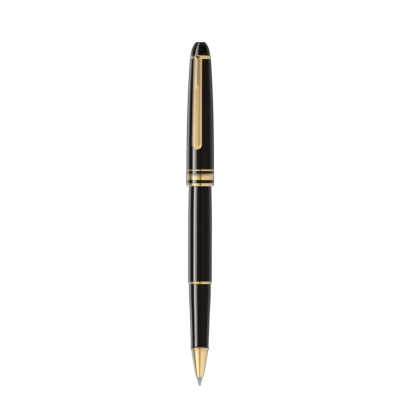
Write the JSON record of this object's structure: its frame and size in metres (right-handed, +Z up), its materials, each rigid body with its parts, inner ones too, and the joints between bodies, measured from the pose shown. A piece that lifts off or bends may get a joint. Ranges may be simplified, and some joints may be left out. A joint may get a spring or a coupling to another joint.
{
  "type": "rollerball pen",
  "caption": "Slim black resin rollerball pen with gold trim, its pull-off cap posted on the tail, a sprung pocket clip, a screw-off grip section and a replaceable ink refill.",
  "frame": {"origin": "lowest point of the writing ball, on the pen's axis", "axes": "+Z up the pen's axis from the writing point to the crown of the cap, -Y towards the pocket clip"},
  "size_m": [0.0126, 0.0139, 0.1542],
  "materials": {
    "black_resin": "polished, deep gloss",
    "gold_plate": "polished gold plate on brass",
    "plain_brass": "machined, unplated",
    "steel": "fine turned",
    "white_plastic": "moulded",
    "white_inlay": "polished",
    "feed_fibre": "bonded fibre, ink stained",
    "ink_reservoir": "fibre bundle soaked in ink",
    "rubber": "satin"
  },
  "bodies": {
    "barrel": {"barrel_tube": "black_resin", "barrel_ring": "gold_plate", "barrel_thread": "plain_brass", "tail_ring": "gold_plate", "tail_cap": "black_resin", "spring_seat": "steel", "refill_spring": "steel"},
    "clutch": {"cap_clutch_ring": "plain_brass"},
    "cap": {"cap_tube": "black_resin", "cap_upper_band": "gold_plate", "cap_upper_spacer": "black_resin", "cap_middle_band": "gold_plate", "cap_lower_spacer": "black_resin", "cap_lip_band": "gold_plate", "inner_cap": "white_plastic", "clip_ring": "gold_plate", "crown_screw": "plain_brass", "crown_washer": "steel", "cap_crown": "black_resin", "crown_inlay": "white_inlay"},
    "clip": {"pocket_clip": "gold_plate"},
    "refill": {"refill_tube": "steel", "refill_nose": "white_plastic", "refill_point": "steel", "feed_rod": "feed_fibre", "ink_fibre": "ink_reservoir", "refill_plug": "white_plastic"},
    "ball": {"writing_ball": "steel"},
    "section": {"grip_section": "black_resin", "section_thread": "plain_brass", "section_seal": "rubber", "front_ring": "gold_plate", "nose_cone": "gold_plate"}
  },
  "joints": [
    {"name": "cap_pull", "type": "slide", "parent": "barrel", "child": "clutch", "axis": [0, 0, 1], "range_m": [0, 0.04]},
    {"name": "cap_turn", "type": "hinge", "parent": "clutch", "child": "cap", "pos_m": [0, 0, 0.1], "axis": [0, 0, 1], "continuous": true},
    {"name": "clip_flex", "type": "hinge", "parent": "cap", "child": "clip", "pos_m": [0, -0.0042, 0.14645], "axis": [-1, 0, 0], "range_deg": [0, 4], "stiffness_Nm_per_rad": 3.5},
    {"name": "section_advance", "type": "slide", "parent": "barrel", "child": "refill", "axis": [0, 0, -1], "range_m": [0, 0.006], "deforming": ["refill_spring"]},
    {"name": "section_turn", "type": "hinge", "parent": "refill", "child": "section", "pos_m": [0, 0, 0.05], "axis": [0, 0, -1], "range_deg": [0, 1800]},
    {"name": "ball_roll", "type": "hinge", "parent": "refill", "child": "ball", "pos_m": [0, 0, 0.00035], "axis": [1, 0, 0], "continuous": true}
  ],
  "couplings": [
    {"joint": "section_turn", "follows": "section_advance", "rad_per_m": 5236}
  ]
}
